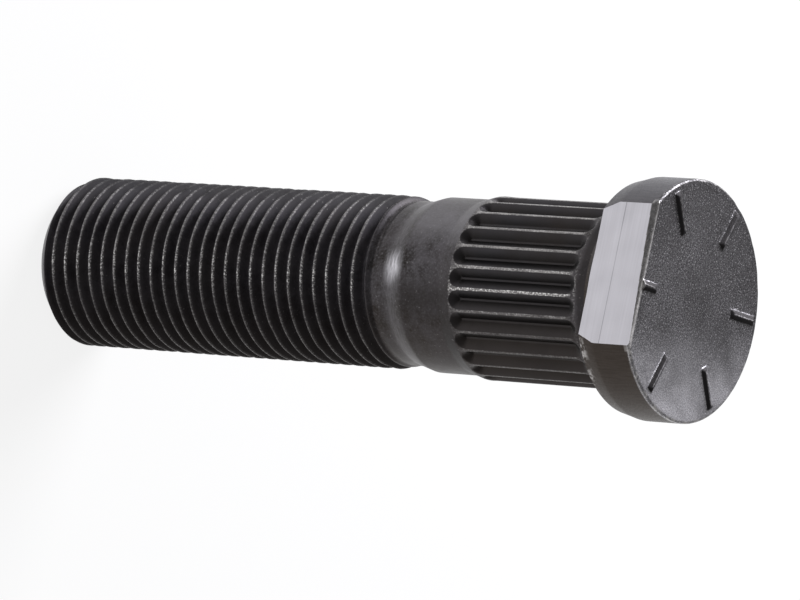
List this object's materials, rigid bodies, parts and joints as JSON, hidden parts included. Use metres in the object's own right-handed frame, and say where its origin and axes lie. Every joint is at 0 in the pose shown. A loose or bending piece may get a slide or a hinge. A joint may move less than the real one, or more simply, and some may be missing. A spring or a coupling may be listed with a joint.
{
  "type": "wheel stud",
  "caption": "Press-in wheel stud: fine threaded end, plain shank, straight knurl and a round head with one side milled flat, for bolting a wheel to a hub.",
  "frame": {"origin": "centre of the flat end face of the thread, on the stud's axis", "axes": "+Z along the axis from the thread's end to the head, -Y out of the flat on the head, +X to complete a right-handed frame"},
  "size_m": [0.0216, 0.0195, 0.0678],
  "materials": {
    "steel": "black oxide over forged and rolled alloy steel, worn bright on crests and edges, head flat milled bare"
  },
  "bodies": {
    "root": {"wheel_stud": "steel"}
  },
  "joints": []
}
